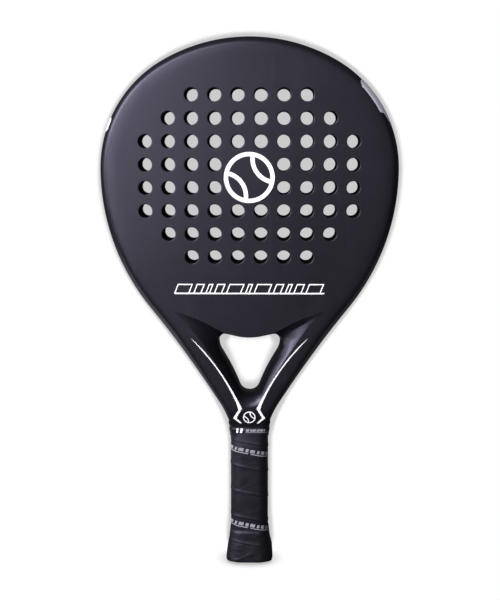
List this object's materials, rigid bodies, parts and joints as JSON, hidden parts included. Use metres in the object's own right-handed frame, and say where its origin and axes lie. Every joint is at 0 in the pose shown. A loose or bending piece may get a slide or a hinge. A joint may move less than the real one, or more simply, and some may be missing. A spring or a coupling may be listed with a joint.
{
  "type": "padel racket",
  "caption": "Teardrop padel racket with a drilled foam core between its faces, a tubular rim, an open scooped throat and a wrapped handle with a flared butt.",
  "frame": {"origin": "centre of the butt end, the lowest point of the racket held upright", "axes": "+Z from the butt to the top of the head; -Y is the front face's outward side; +X is to the right when looking at the front face"},
  "size_m": [0.2536, 0.038, 0.455],
  "materials": {
    "lacquer": "satin near-black lacquer with a faint violet cast over a laminate, fine orange peel",
    "gloss_lacquer": "glossy black lacquer on the scooped throat",
    "core_foam": "dark closed-cell foam, seen on the walls of the drilled holes",
    "filler_foam": "hidden rigid handle foam",
    "cap_plastic": "moulded black plastic with a fine texture",
    "cushion_grip": "soft cushioned wrap under the overgrip",
    "overgrip_wrap": "thin tacky polyurethane overgrip, spirally wound, with grey printed bands",
    "grip_tape": "smooth vinyl finishing tape",
    "white_decal": "white printed transfer under clear lacquer",
    "silver_decal": "light grey printed transfer under clear lacquer"
  },
  "bodies": {
    "root": {"base_grip": "cushion_grip", "butt_cap": "cap_plastic", "eva_core": "core_foam", "finishing_tape": "grip_tape", "frame_tube": "lacquer", "front_dash_motif": "white_decal", "front_emblem": "white_decal", "front_face": "lacquer", "front_heart_emblem": "white_decal", "front_stripe_left": "white_decal", "front_stripe_right": "white_decal", "handle_foam": "filler_foam", "overgrip": "overgrip_wrap", "rear_dash_motif": "white_decal", "rear_emblem": "white_decal", "rear_face": "lacquer", "rear_heart_emblem": "white_decal", "rear_stripe_left": "white_decal", "rear_stripe_right": "white_decal", "rim_decal_left": "white_decal", "rim_decal_right": "silver_decal", "throat_bridge": "gloss_lacquer"}
  },
  "joints": []
}
